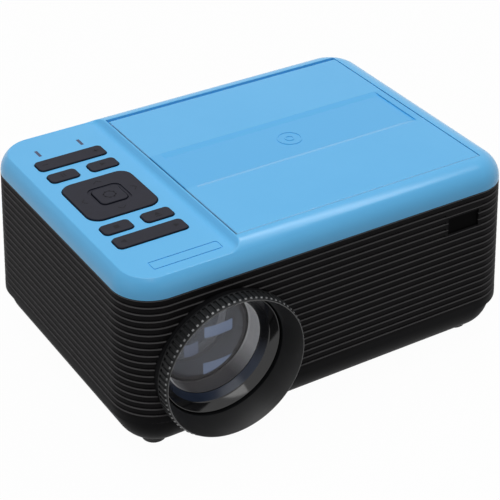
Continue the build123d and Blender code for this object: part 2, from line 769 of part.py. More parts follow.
pieces = {
    "base_pan": base_pan,
    "ribbed_wall": ribbed_wall,
    "top_cover": top_cover,
    "base_screws": base_screws,
    "rubber_feet": rubber_feet,
    "direction_pad": direction_pad,
    "pad_cradle": pad_cradle,
    "enter_key": enter_key,
    "key_board": key_board,
    "key_switches": key_switches,
    "status_lights": status_lights,
    "disc_lid": disc_lid,
    "lid_hinge_pins": lid_hinge_pins,
    "disc_deck": disc_deck,
    "catch_magnet": catch_magnet,
    "strike_plate": strike_plate,
    "drive_plate": drive_plate,
    "drive_posts": drive_posts,
    "spindle_motor": spindle_motor,
    "disc_turntable": disc_turntable,
    "guide_rods": guide_rods,
    "optical_pickup": optical_pickup,
    "objective_lens": objective_lens,
    "lead_screw": lead_screw,
    "sled_motor": sled_motor,
    "focus_ring": focus_ring,
    "lens_mount": lens_mount,
    "lens_cell": lens_cell,
    "front_glass": front_glass,
    "rear_glass": rear_glass,
    "projection_tube": projection_tube,
    "optics_shelf": optics_shelf,
    "panel_frame": panel_frame,
    "picture_panel": picture_panel,
    "light_duct": light_duct,
    "fresnel_plate": fresnel_plate,
    "light_source": light_source,
    "heat_sink": heat_sink,
    "fan_frame": fan_frame,
    "fan_rotor": fan_rotor,
    "rear_panel": rear_panel,
    "mains_inlet": mains_inlet,
    "monitor_socket": monitor_socket,
    "phones_socket": phones_socket,
    "side_grille": side_grille,
    "loudspeaker": loudspeaker,
    "main_board_chips": main_board_chips,
    "power_parts": power_parts,
    "remote_window": remote_window,
    "remote_receiver": remote_receiver,
}

os.makedirs("parts", exist_ok=True)
for name, make in pieces.items():
    made = make()
    save(name, Compound(children=made) if isinstance(made, list) else made)
for name, (x, y) in keys.items():
    save(name, small_key(x, y))
for name, y in bars.items():
    save(name, rocker_key(y))
save("video_socket", phono_socket(*video_at))
save("audio_sockets", Compound(children=[phono_socket(x, z) for x, z in audio_spots]))
save("main_board", circuit_board(main_board_y))
save("power_board", circuit_board(power_board_y))
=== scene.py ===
import bpy
import bmesh
import json
import math
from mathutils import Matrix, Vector


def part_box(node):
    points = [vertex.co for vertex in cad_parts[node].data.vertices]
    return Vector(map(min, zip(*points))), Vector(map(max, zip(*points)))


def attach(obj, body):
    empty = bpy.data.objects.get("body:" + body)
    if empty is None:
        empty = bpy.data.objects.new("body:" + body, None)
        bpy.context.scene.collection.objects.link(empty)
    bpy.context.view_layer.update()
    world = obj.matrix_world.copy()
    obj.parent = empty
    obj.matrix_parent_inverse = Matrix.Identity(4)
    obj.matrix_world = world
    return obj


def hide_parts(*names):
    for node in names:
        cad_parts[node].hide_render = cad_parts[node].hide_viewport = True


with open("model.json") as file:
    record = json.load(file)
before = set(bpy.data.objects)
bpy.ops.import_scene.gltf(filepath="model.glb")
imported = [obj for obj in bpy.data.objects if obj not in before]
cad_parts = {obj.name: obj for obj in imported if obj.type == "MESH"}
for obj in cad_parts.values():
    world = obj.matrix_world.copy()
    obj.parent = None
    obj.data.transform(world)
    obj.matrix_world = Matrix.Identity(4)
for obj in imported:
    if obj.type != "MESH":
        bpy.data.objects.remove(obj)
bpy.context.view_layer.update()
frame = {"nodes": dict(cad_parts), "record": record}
scene = bpy.context.scene
nodes = frame["nodes"]
mm = 0.001
coverLow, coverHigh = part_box("top_cover")
middleY = (coverLow.y + coverHigh.y) / 2      # middle of the cover, front to back
partingZ = coverLow.z                         # where the blue cover meets the ribbed wall
hoodLow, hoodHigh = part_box("focus_ring")
lensX, lensZ = (hoodLow.x + hoodHigh.x) / 2, (hoodLow.z + hoodHigh.z) / 2
print("frame loaded:", len(nodes), "solids")

# what the photograph's camera saw: it stood to the left, in front and above
cameraSet = {
    "place": (-449.3, -726.1, 603.0),         # millimetres
    "turn": -31.6,                            # degrees round the object
    "above": 32.64,                           # degrees above the horizon
    "lens": 115.3,
    "sensor": 36.0,
}


def makeCamera():
    data = bpy.data.cameras.new("photoCamera")
    data.lens = cameraSet["lens"]
    data.sensor_width = cameraSet["sensor"]
    data.clip_start, data.clip_end = 0.05, 50
    data.dof.use_dof = False
    camera = bpy.data.objects.new("photoCamera", data)
    scene.collection.objects.link(camera)
    camera.location = Vector(cameraSet["place"]) * mm
    camera.rotation_euler = (math.radians(90 - cameraSet["above"]), 0, math.radians(cameraSet["turn"]))
    scene.camera = camera


makeCamera()
print("camera in place")

# soft studio light: a wide lamp overhead, a narrow one that edges the rounded rims, and two low ones
lampSet = {
    "overhead": {"place": (-0.3, -0.1, 1.5), "size": (1.7, 1.2), "watts": 16.6},
    "edge": {"place": (0.71, 0.20, 1.42), "size": (1.1, 0.16), "watts": 6.4},
    "left": {"place": (-1.4, -0.15, 0.6), "size": (1.0, 0.7), "watts": 0.9},
    "front": {"place": (0.2, -1.3, 0.6), "size": (0.7, 0.4), "watts": 0.35},
}
worldLight = 0.12
aim = Vector((0, 0, 0.06))


def calc(tree, operation, *values):
    # one step of arithmetic: a figure is set on its socket, anything else is linked to it
    step = tree.nodes.new("ShaderNodeMath")
    step.operation = operation
    for socket, value in zip(step.inputs, values):
        if isinstance(value, (int, float)):
            socket.default_value = value
        else:
            tree.links.new(value, socket)
    return step.outputs[0]


def seenDirect(tree):
    # 1 where the camera, a mirror or a glass looks straight at the background
    path = tree.nodes.new("ShaderNodeLightPath")
    total = path.outputs["Is Camera Ray"]
    for name in ("Is Glossy Ray", "Is Transmission Ray"):
        total = calc(tree, "MAXIMUM", total, path.outputs[name])
    return total


def makeLight():
    for name, lamp in lampSet.items():
        data = bpy.data.lights.new(name + "Lamp", "AREA")
        data.shape = "RECTANGLE"
        data.size, data.size_y = lamp["size"]
        data.energy = lamp["watts"]
        holder = bpy.data.objects.new(name + "Lamp", data)
        scene.collection.objects.link(holder)
        holder.location = lamp["place"]
        holder.rotation_euler = (aim - holder.location).to_track_quat("-Z", "Y").to_euler()
    world = bpy.data.worlds.new("studio")
    world.use_nodes = True
    scene.world = world
    tree = world.node_tree
    tree.nodes.clear()
    lit, white = [tree.nodes.new("ShaderNodeBackground") for _ in range(2)]
    lit.inputs["Strength"].default_value = worldLight
    lit.inputs["Color"].default_value = (1, 1, 1, 1)
    white.inputs["Strength"].default_value = 1
    white.inputs["Color"].default_value = (1, 1, 1, 1)
    mix = tree.nodes.new("ShaderNodeMixShader")
    out = tree.nodes.new("ShaderNodeOutputWorld")
    tree.links.new(seenDirect(tree), mix.inputs[0])
    tree.links.new(lit.outputs[0], mix.inputs[1])
    tree.links.new(white.outputs[0], mix.inputs[2])
    tree.links.new(mix.outputs[0], out.inputs[0])
    scene.view_settings.view_transform = "Standard"


makeLight()
print("lamps and sky in place")

floorSet = {"reach": 4.0, "white": 0.6, "rough": 0.9, "ownWhite": 0.975}


def makeFloor():
    mesh = bpy.data.meshes.new("floor")
    reach = floorSet["reach"]
    mesh.from_pydata([(-reach, -reach, 0), (reach, -reach, 0), (reach, reach, 0), (-reach, reach, 0)],
                     [], [(0, 1, 2, 3)])
    floor = bpy.data.objects.new("floor", mesh)
    scene.collection.objects.link(floor)
    material = bpy.data.materials.new("floorPaper")
    material.use_nodes = True
    tree = material.node_tree
    shader = tree.nodes["Principled BSDF"]
    shader.inputs["Base Color"].default_value = (*[floorSet["white"]] * 3, 1)
    shader.inputs["Roughness"].default_value = floorSet["rough"]
    paintedGlow = tree.nodes.new("ShaderNodeEmission")
    mix = tree.nodes.new("ShaderNodeMixShader")
    tree.links.new(calc(tree, "MULTIPLY", seenDirect(tree), floorSet["ownWhite"]), mix.inputs[0])
    tree.links.new(shader.outputs[0], mix.inputs[1])
    tree.links.new(paintedGlow.outputs[0], mix.inputs[2])
    tree.links.new(mix.outputs[0], tree.nodes["Material Output"].inputs["Surface"])
    mesh.materials.append(material)


makeFloor()
print("floor laid")

# plastics, metals and rubber: two close tones in soft patches, a fine grain and an uneven gloss
finishes = {
    "skyBlue": {"deep": (0.106, 0.450, 0.805), "pale": (0.118, 0.470, 0.825), "patch": 14,
                "rough": (0.2, 0.25), "grain": 5200, "depth": 0.008, "shine": 0.34},
    # the lid's hollow is a painted shade across its sunk band
    "lidBlue": {"deep": (0.100, 0.440, 0.800), "pale": (0.112, 0.460, 0.820), "patch": 14,
                "rough": (0.2, 0.25), "grain": 5200, "depth": 0.008, "shine": 0.34,
                # side on the lid is a painted highlight: its steep faces and edges are paler
                "hollow": (0.090, 0.425, 0.790), "side": (0.30, 0.66, 0.94), "steep": (0.9, 0.6)},
    "ribbedBlack": {"deep": (0.0046, 0.0043, 0.0047), "pale": (0.0074, 0.0069, 0.0074), "patch": 60,
                    "rough": (0.5, 0.62), "grain": 4200, "depth": 0.03, "shine": 0.04,
                    # ridge is a painted highlight: the pale line on each groove's lower lip
                    "ridge": (0.078, 0.076, 0.078)},
    "smoothBlack": {"deep": (0.0050, 0.0050, 0.0056), "pale": (0.0074, 0.0073, 0.0080), "patch": 45,
                    "rough": (0.46, 0.56), "grain": 3600, "depth": 0.02, "shine": 0.04},
    "keyGrey": {"deep": (0.0125, 0.0127, 0.0195), "pale": (0.0175, 0.0177, 0.0265), "patch": 160,
                "rough": (0.56, 0.66), "grain": 5200, "depth": 0.03, "shine": 0.15,
                # side on the keys is a painted shade: their steep sides are darker and bluish
                "side": (0.006, 0.008, 0.016)},
    "keyMark": {"deep": (0.010, 0.010, 0.013), "pale": (0.016, 0.016, 0.020), "patch": 400,
                "rough": (0.6, 0.7), "grain": 5200, "depth": 0.01, "shine": 0.1},
    "rubberBlack": {"deep": (0.012, 0.012, 0.012), "pale": (0.02, 0.02, 0.02), "patch": 220,
                    "rough": (0.75, 0.9), "grain": 2600, "depth": 0.06},
    "hoodBlack": {"deep": (0.0048, 0.0052, 0.0056), "pale": (0.0075, 0.008, 0.0086), "patch": 70,
                  "rough": (0.42, 0.52), "grain": 4600, "depth": 0.02, "shine": 0.15},
    "funnelBlack": {"deep": (0.014, 0.014, 0.0146), "pale": (0.019, 0.019, 0.0196), "patch": 40,
                    "rough": (0.36, 0.42), "grain": 5200, "depth": 0.012, "shine": 0.5},
    # painted highlight: the front ends of the hood's ribs, pale where they catch the light
    "ribEndHighlight": {"deep": (0.03, 0.031, 0.033), "pale": (0.30, 0.305, 0.31), "patch": 420,
                 "rough": (0.3, 0.42), "grain": 5200, "depth": 0.01},
    # a glossier front rim for the hood; its paler grey is a painted highlight
    "rimHighlightGrey": {"deep": (0.022, 0.023, 0.024), "pale": (0.05, 0.051, 0.052), "patch": 300,
                "rough": (0.22, 0.3), "grain": 5200, "depth": 0.01, "shine": 0.8},
    # painted reflection: the barrel's cones are blue where they stand for a bluish reflection low down, and dark
    # higher up
    "ringBlue": {"deep": (0.022, 0.034, 0.066), "pale": (0.034, 0.052, 0.098), "patch": 60,
                 "rough": (0.2, 0.28), "grain": 900, "depth": 0.004, "shine": 0.3,
                 "heights": (-21, -5, (0.006, 0.0065, 0.009))},
    "glossBlack": {"deep": (0.006, 0.006, 0.007), "pale": (0.009, 0.009, 0.0105), "patch": 120,
                   "rough": (0.08, 0.12), "grain": 900, "depth": 0.004, "shine": 0.55},
    "windowBlack": {"deep": (0.0014, 0.0013, 0.0014), "pale": (0.0022, 0.002, 0.0022), "patch": 240,
                    "rough": (0.5, 0.6), "grain": 1200, "depth": 0.004, "shine": 0.015},
    "lampBlue": {"deep": (0.010, 0.026, 0.085), "pale": (0.016, 0.04, 0.12), "patch": 900,
                 "rough": (0.25, 0.32), "grain": 3000, "depth": 0.004},
    "deckGrey": {"deep": (0.16, 0.165, 0.175), "pale": (0.19, 0.195, 0.205), "patch": 30,
                 "rough": (0.42, 0.52), "grain": 4200, "depth": 0.02},
    "chipBlack": {"deep": (0.014, 0.014, 0.015), "pale": (0.026, 0.026, 0.028), "patch": 400,
                  "rough": (0.5, 0.62), "grain": 4200, "depth": 0.02},
    "phonoYellow": {"deep": (0.72, 0.48, 0.03), "pale": (0.8, 0.55, 0.05), "patch": 300,
                    "rough": (0.35, 0.45), "grain": 4200, "depth": 0.01},
    "phonoPlain": {"deep": (0.58, 0.56, 0.52), "pale": (0.66, 0.64, 0.6), "patch": 300,
                   "rough": (0.35, 0.45), "grain": 4200, "depth": 0.01},
    # painted light: the lens's ground edge glows a little though it is no lamp, and is painted darker low down for
    # shade
    "glowingGroundGlass": {"deep": (0.80, 0.81, 0.84), "pale": (0.90, 0.91, 0.93), "patch": 500,
                    "rough": (0.5, 0.7), "grain": 6000, "depth": 0.02, "shine": 0.3,
                    "paintedGlow": (0.9, 0.93, 1.0), "paintedGlowing": 0.12, "heights": (-13, -28, (0.09, 0.088, 0.092))},
    # painted reflections: faint glowing window images inside the lens, the left one dimmer
    "windowReflectionGlow": {"deep": (0.10, 0.14, 0.24), "pale": (0.14, 0.19, 0.30), "patch": 200,
                    "rough": (0.12, 0.18), "grain": 900, "depth": 0.002,
                    "paintedGlow": (0.42, 0.6, 1.0), "paintedGlowing": 0.22},
    "windowReflectionDim": {"deep": (0.08, 0.10, 0.16), "pale": (0.10, 0.13, 0.2), "patch": 200,
                   "rough": (0.12, 0.18), "grain": 900, "depth": 0.002,
                   "paintedGlow": (0.42, 0.55, 1.0), "paintedGlowing": 0.09},
    "lightWhite": {"deep": (0.72, 0.72, 0.70), "pale": (0.8, 0.8, 0.78), "patch": 50,
                   "rough": (0.4, 0.5), "grain": 3000, "depth": 0.01},
    "steel": {"deep": (0.45, 0.45, 0.46), "pale": (0.56, 0.56, 0.57), "patch": 300,
              "rough": (0.24, 0.36), "grain": 1600, "depth": 0.006, "metal": 1.0},
    "zincPlate": {"deep": (0.47, 0.48, 0.50), "pale": (0.60, 0.61, 0.62), "patch": 130,
                  "rough": (0.34, 0.5), "grain": 1400, "depth": 0.008, "metal": 1.0},
    "aluminium": {"deep": (0.62, 0.62, 0.63), "pale": (0.74, 0.74, 0.75), "patch": 90,
                  "rough": (0.32, 0.44), "grain": 2200, "depth": 0.008, "metal": 1.0},
    "magnetGrey": {"deep": (0.12, 0.12, 0.13), "pale": (0.2, 0.2, 0.21), "patch": 500,
                   "rough": (0.4, 0.55), "grain": 2200, "depth": 0.01, "metal": 1.0},
    "boardGreen": {"deep": (0.012, 0.10, 0.035), "pale": (0.02, 0.15, 0.055), "patch": 260,
                   "rough": (0.3, 0.4), "grain": 2600, "depth": 0.02},
}


def node(tree, kind, **values):
    fresh = tree.nodes.new(kind)
    for name, value in values.items():
        fresh.inputs[name].default_value = value
    return fresh


def blank(name):
    material = bpy.data.materials.new(name)
    material.use_nodes = True
    tree = material.node_tree
    return material, tree, tree.nodes["Principled BSDF"]


def mixed(tree, share, colour, tone):
    mix = tree.nodes.new("ShaderNodeMix")
    mix.data_type = "RGBA"
    mix.inputs["B"].default_value = (*tone, 1)
    tree.links.new(share, mix.inputs["Factor"])
    tree.links.new(colour, mix.inputs["A"])
    return mix.outputs["Result"]


def ramped(tree, value, start, end, low=0, high=1, clamp=True):
    # low where the value is at its start, high where it is at its end
    ramp = node(tree, "ShaderNodeMapRange", **{"From Min": start, "From Max": end, "To Min": low, "To Max": high})
    ramp.clamp = clamp
    tree.links.new(value, ramp.inputs["Value"])
    return ramp.outputs[0]


def along(tree, vector, axis):
    parts = tree.nodes.new("ShaderNodeSeparateXYZ")
    tree.links.new(vector, parts.inputs[0])
    return parts.outputs[axis]


def paintLightBySlope(tree, colour, tone, none, full):
    # painted light and shade: another tone where the face's slope, 1 for level, passes from one figure to the other;
    # paler for highlights on the lid's steep faces and edges, darker for shade on the keys' sides
    normal = tree.nodes.new("ShaderNodeTexCoord").outputs["Normal"]
    level = calc(tree, "ABSOLUTE", along(tree, normal, "Z"))
    return mixed(tree, ramped(tree, level, none, full), colour, tone)


grooves = {"pitch": 4.5, "first": 4.2, "lip": (0.62, 1.28)}     # millimetres below the parting line


def paintLipHighlights(tree, colour, tone, where):
    # painted highlight: the fine pale line that the outer lip under each groove shows where it catches the light
    first, pitch = grooves["first"], grooves["pitch"]
    below = ramped(tree, along(tree, where, "Z"), partingZ - first * mm, partingZ - (first + pitch) * mm, clamp=False)
    low, high = [edge / pitch for edge in grooves["lip"]]
    band = calc(tree, "COMPARE", calc(tree, "FRACT", below), (low + high) / 2, (high - low) / 2)
    return mixed(tree, band, colour, tone)


def paintLightByHeight(tree, colour, look, where):
    # painted reflection and shade: another tone where the height, in millimetres from the lens axis, passes from one
    # figure to the other
    start, end, tone = look["heights"]
    share = ramped(tree, along(tree, where, "Z"), lensZ + start * mm, lensZ + end * mm)
    return mixed(tree, share, colour, tone)


# the sunk band across the lid: millimetres from the middle of the cover, and below its top
lidBand = {"front": -22.4, "slope": 3.0, "back": 24.0, "crisp": 0.2, "depth": 0.79, "reach": 1.2}


def paintBandShade(tree, colour, tone, where):
    # painted shade: a darker tone across the sunk band, soft at the front edge and crisp at the back one, on the
    # lid's upper side alone
    front, back = [middleY + lidBand[edge] * mm for edge in ("front", "back")]
    y, z = [along(tree, where, axis) for axis in ("Y", "Z")]
    starts = ramped(tree, y, front, front + lidBand["slope"] * mm)
    ends = ramped(tree, y, back, back + lidBand["crisp"] * mm, 1, 0)
    above = calc(tree, "GREATER_THAN", z, coverHigh.z - lidBand["reach"] * mm)
    return mixed(tree, calc(tree, "MULTIPLY", calc(tree, "MULTIPLY", starts, ends), above), colour, tone)


# what every finish shares: its patches' detail and roughness, its grain's, and where the two tones stand
patches = {"Detail": 4, "Roughness": 0.6}
grains = {"Detail": 2, "Roughness": 0.5}
toneStops = (("deep", 0.3), ("pale", 0.7))
bumpStrength = 0.35


def finish(name):
    look = finishes[name]
    material, tree, shader = blank(name)
    where = tree.nodes.new("ShaderNodeTexCoord").outputs["Object"]
    patch = node(tree, "ShaderNodeTexNoise", Scale=look["patch"], **patches)
    tones = tree.nodes.new("ShaderNodeValToRGB")
    for stop, (tone, position) in zip(tones.color_ramp.elements, toneStops):
        stop.color = (*look[tone], 1)
        stop.position = position
    grain = node(tree, "ShaderNodeTexNoise", Scale=look["grain"], **grains)
    bump = node(tree, "ShaderNodeBump", Strength=bumpStrength, Distance=look["depth"] * mm)
    tree.links.new(where, patch.inputs["Vector"])
    tree.links.new(where, grain.inputs["Vector"])
    tree.links.new(patch.outputs[0], tones.inputs[0])
    colour = tones.outputs[0]
    # painted highlights along the grooves' lips
    if "ridge" in look:
        colour = paintLipHighlights(tree, colour, look["ridge"], where)
    # painted light and shade by the face's slope
    if "side" in look:
        colour = paintLightBySlope(tree, colour, look["side"], *look.get("steep", (0.5, 0.25)))
    # painted shade across the lid's sunk band
    if "hollow" in look:
        colour = paintBandShade(tree, colour, look["hollow"], where)
    # painted reflection and shade by height
    if "heights" in look:
        colour = paintLightByHeight(tree, colour, look, where)
    tree.links.new(colour, shader.inputs["Base Color"])
    tree.links.new(ramped(tree, patch.outputs[0], 0, 1, *look["rough"]), shader.inputs["Roughness"])
    tree.links.new(grain.outputs[0], bump.inputs["Height"])
    tree.links.new(bump.outputs[0], shader.inputs["Normal"])
    shader.inputs["Metallic"].default_value = look.get("metal", 0.0)
    shader.inputs["Specular IOR Level"].default_value = look.get("shine", 0.5)
    # painted light: a glow on parts that are no lamp, taking the painted height tones where there are any
    if "paintedGlow" in look:
        shader.inputs["Emission Color"].default_value = (*look["paintedGlow"], 1)
        if "heights" in look:
            tree.links.new(colour, shader.inputs["Emission Color"])
        shader.inputs["Emission Strength"].default_value = look["paintedGlowing"]
    return material


made = {name: finish(name) for name in finishes}

# glass that lets part of the light through and mirrors the rest with a bluish coat
glasses = {
    "coatedGlass": {"body": (0.44, 0.42, 0.43), "solid": 0.26, "coat": (0.72, 0.84, 1.0), "rough": (0.015, 0.045)},
    "innerGlass": {"body": (0.05, 0.055, 0.075), "solid": 0.6, "coat": (0.55, 0.72, 1.0), "rough": (0.02, 0.06)},
}
smears = {"Scale": 45, "Detail": 5, "Roughness": 0.65}
glassIndex = 1.6


def makeGlass(name):
    look = glasses[name]
    material, tree, shader = blank(name)
    where = tree.nodes.new("ShaderNodeTexCoord").outputs["Object"]
    smear = node(tree, "ShaderNodeTexNoise", **smears)
    tree.links.new(where, smear.inputs["Vector"])
    tree.links.new(ramped(tree, smear.outputs[0], 0, 1, *look["rough"]), shader.inputs["Roughness"])
    shader.inputs["Base Color"].default_value = (*look["body"], 1)
    shader.inputs["Alpha"].default_value = look["solid"]
    shader.inputs["Specular Tint"].default_value = (*look["coat"], 1)
    shader.inputs["Specular IOR Level"].default_value = 1.0
    shader.inputs["IOR"].default_value = glassIndex
    return material


for name in glasses:
    made[name] = makeGlass(name)
print("finishes made:", len(made))

# which finish each solid wears
wears = {
    "skyBlue": ["top_cover"],
    "lidBlue": ["disc_lid"],
    "ribbedBlack": ["ribbed_wall"],
    "smoothBlack": ["base_pan", "rear_panel", "side_grille", "mains_inlet", "lens_mount", "optics_shelf"],
    "keyGrey": ["back_rocker_key", "front_rocker_key", "back_left_key", "back_right_key", "front_left_key",
                "front_right_key", "direction_pad", "enter_key"],
    "rubberBlack": ["rubber_feet"],
    "hoodBlack": ["focus_ring"],
    "glossBlack": ["lens_cell"],
    "windowBlack": ["remote_window"],
    "lampBlue": ["status_lights"],
    "deckGrey": ["disc_deck", "pad_cradle"],
}
slotFinish = {
    "sky_blue_cover": "skyBlue", "ribbed_black": "ribbedBlack", "smooth_black": "smoothBlack",
    "key_grey": "keyGrey", "rubber_black": "rubberBlack", "gloss_black": "glossBlack",
    "dark_window": "windowBlack", "lamp_blue": "lampBlue", "coated_glass": "coatedGlass",
    "steel": "steel", "zinc_plate": "zincPlate", "aluminium": "aluminium", "magnet": "magnetGrey",
    "board_green": "boardGreen", "chip_black": "chipBlack", "deck_grey": "deckGrey",
    "phono_yellow": "phonoYellow", "phono_plain": "phonoPlain", "light_white": "lightWhite",
}


def dress():
    slots = {part["node"]: part["material_slot"] for part in frame["record"]["subparts"]}
    chosen = {name: finishName for finishName, names in wears.items() for name in names}
    for name, solid in nodes.items():
        look = chosen.get(name, slotFinish[slots[name]])
        for slot in solid.material_slots:
            slot.material = made[look]


dress()
print("solids dressed")


def softened(outline, radius, steps=3):
    # rounds the corners of a closed outline, each by as much as its neighbours leave room for
    soft = []
    for index, point in enumerate(outline):
        corner = Vector(point)
        back = Vector(outline[index - 1]) - corner
        ahead = Vector(outline[(index + 1) % len(outline)]) - corner
        reach = min(radius, back.length * 0.45, ahead.length * 0.45)
        start, end = corner + back.normalized() * reach, corner + ahead.normalized() * reach
        for step in range(steps + 1):
            share = step / steps
            soft.append(start * (1 - share) ** 2 + corner * 2 * share * (1 - share) + end * share ** 2)
    return soft


def addPiece(name, mesh, body, looks, replaced=(), crease=40):
    piece = bpy.data.objects.new(name, mesh)
    scene.collection.objects.link(piece)
    for look in looks:
        mesh.materials.append(made[look])
    mesh.shade_smooth()
    mesh.set_sharp_from_angle(angle=math.radians(crease))
    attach(piece, body)
    if replaced:
        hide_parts(*replaced)
    return piece


def readyMesh(name, mesh, outward=True):
    if outward:
        bmesh.ops.recalc_face_normals(mesh, faces=mesh.faces)
    ready = bpy.data.meshes.new(name)
    mesh.to_mesh(ready)
    mesh.free()
    return ready


def barMesh(name, sections):
    # a closed bar through sections that have the same number of points
    mesh = bmesh.new()
    rings = [[mesh.verts.new(point) for point in section] for section in sections]
    for here, there in zip(rings, rings[1:]):
        for index in range(len(here)):
            after = (index + 1) % len(here)
            mesh.faces.new((here[index], here[after], there[after], there[index]))
    mesh.faces.new(rings[0])
    mesh.faces.new(rings[-1])
    bmesh.ops.dissolve_degenerate(mesh, edges=mesh.edges, dist=1e-6)
    return readyMesh(name, mesh)


def turnedMesh(name, outline, turns, press=None):
    # turns a closed outline about the lens axis, in millimetres: radius from the axis, depth behind the hood's
    # front rim; press may change a point's radius from turn to turn
    mesh = bmesh.new()
    rows = []
    for turn in range(turns):
        angle = 2 * math.pi * turn / turns
        row = []
        for radius, depth in outline:
            reach = press(turn, radius, depth) if press else radius
            row.append(mesh.verts.new((lensX + reach * mm * math.cos(angle), hoodLow.y + depth * mm,
                                       lensZ + reach * mm * math.sin(angle))))
        rows.append(row)
    for turn in range(turns):
        here, there = rows[turn], rows[(turn + 1) % turns]
        for index in range(len(outline)):
            after = (index + 1) % len(outline)
            mesh.faces.new((here[index], here[after], there[after], there[index]))
    bmesh.ops.remove_doubles(mesh, verts=mesh.verts, dist=1e-7)
    bmesh.ops.dissolve_degenerate(mesh, edges=mesh.edges, dist=1e-7)
    return readyMesh(name, mesh)


hood = {
    "ribs": 80,
    "turnsPerRib": 8,
    "drum": 45.3,             # between the ribs
    "ribTop": 46.1,
    "ribFront": 1.1,
    "ribBack": 8.7,
    "rim": 46.2,
    "edge": 0.25,             # how round its corners are
    "slots": ["hoodBlack", "funnelBlack", "ribEndHighlight", "rimHighlightGrey"],
    "funnel": (44.7, 20),     # its faces lie nearer the axis, and further forward
    "highlightReach": 0.2,              # a rib's end gets the painted highlight where it stands further out than this from the drum
    "facing": -0.2,           # and where it looks forward by more than this
    "rimDeep": 0.12,
}


def radiusOf(point):
    return Vector((point.x - lensX, point.z - lensZ)).length / mm


def depthOf(point):
    return (point.y - hoodLow.y) / mm


def makeHood():
    outline = [(40, 26), (42, 26), (42, 10.5), (45.6, 10.5), (hood["rim"], 9.5), (hood["rim"], hood["ribBack"]),
               (hood["ribTop"], hood["ribBack"] - 0.3), (hood["ribTop"], hood["ribFront"] + 1),
               (hood["drum"], hood["ribFront"]), (hood["drum"], 0.7), (45.0, 0), (44.6, 0), (40, 15)]

    def betweenRibs(turn, radius, depth):
        gap = turn % hood["turnsPerRib"] >= hood["turnsPerRib"] / 2
        inRibs = hood["ribFront"] < depth < hood["ribBack"] and radius > hood["drum"]
        return hood["drum"] if gap and inRibs else radius

    mesh = turnedMesh("hood", softened(outline, hood["edge"]), hood["ribs"] * hood["turnsPerRib"], betweenRibs)
    addPiece("hood", mesh, "focus_ring", hood["slots"], ["focus_ring"], crease=50)
    # painted highlights on the rib ends and the front rim
    for face in mesh.polygons:
        away, back = radiusOf(face.center), depthOf(face.center)
        funnel = away < hood["funnel"][0] and back < hood["funnel"][1]
        ribEnd = away > hood["drum"] + hood["highlightReach"] and back < hood["ribFront"] + 1 and face.normal.y < hood["facing"]
        rim = back < hood["rimDeep"]
        face.material_index = 1 if funnel else 2 if ribEnd else 3 if rim else 0


makeHood()
print("hood made")

# the cones painted with a bluish reflection lie between two depths, and nearer the axis than the last figure
barrel = {"turns": 160, "edge": 0.3, "coated": [(22.2, 26.8, 34.9), (40.5, 51, 30)]}


def makeBarrel():
    outline = [(39.2, 17), (39.2, 26), (33, 26), (33, 60), (24, 60), (24, 53), (24.6, 50), (29, 41), (29, 38.6),
               (31.7, 38.6), (31.7, 26.8), (32.2, 26.2), (34.9, 22.2), (35.3, 21.8), (38.6, 17)]
    mesh = turnedMesh("lensBarrel", softened(outline, barrel["edge"]), barrel["turns"])
    addPiece("lensBarrel", mesh, "lens_cell", ["glossBlack", "ringBlue"], ["lens_cell"])
    for face in mesh.polygons:
        away, back = radiusOf(face.center), depthOf(face.center)
        coated = any(start < back < end and away < limit for start, end, limit in barrel["coated"])
        face.material_index = int(coated)


makeBarrel()
print("lens barrel made")

# each lens: radius of its edge, depth of its front edge, bulge before that, depth of its flat back
frontLens = {"edge": 31.6, "rim": 26.4, "bulge": 6.0, "back": 38.6, "bevel": 0.7, "rings": 24, "turns": 128}
rearLens = {"edge": 23.9, "rim": 53.0, "bulge": 7.0, "back": 59.0, "bevel": 0.4, "rings": 20, "turns": 96}


# a lens's ground glass: the faces further out than this inside its rim that don't look straight on
ground = {"within": 0.05, "level": 0.95}


def bulged(edge, bulge, share):
    # how far a round surface stands forward of its rim, at a share of its radius
    curve = (edge ** 2 + bulge ** 2) / (2 * bulge)
    return math.sqrt(curve ** 2 - (edge * share) ** 2) - curve + bulge


def makeLens(name, lens, look, replaced):
    inner = lens["edge"] - lens["bevel"]
    outline = [(inner * ring / lens["rings"], lens["rim"] - bulged(inner, lens["bulge"], ring / lens["rings"]))
               for ring in range(lens["rings"] + 1)]
    outline += [(lens["edge"], lens["rim"] + lens["bevel"]), (lens["edge"], lens["back"] - lens["bevel"]),
                (inner, lens["back"]), (0, lens["back"])]
    mesh = turnedMesh(name, outline, lens["turns"])
    addPiece(name, mesh, "lens_cell", [look, "glowingGroundGlass"], [replaced])
    for face in mesh.polygons:
        outside = radiusOf(face.center) > inner - ground["within"]
        face.material_index = int(outside and abs(face.normal.y) < ground["level"])


makeLens("frontLens", frontLens, "coatedGlass", "front_glass")
makeLens("rearLens", rearLens, "innerGlass", "rear_glass")
print("lenses made")

# painted reflections: glowing bluish plates behind the front lens stand for the images of a window reflected in it;
# their middles and sizes
windowReflections = {
    "depth": 39.2,
    "reach": 28.6,            # no corner lies further from the axis
    "sag": 1.6,               # how far their long edges bow
    "steps": 12,
    "dimLeft": 2,             # those further left than this from the axis are dim
    "places": [((10.6, 1.2), (19.0, 7.6)), ((10.4, -25.2), (21.0, 9.6)), ((-8.0, -7.0), (9.5, 8.5))],
}


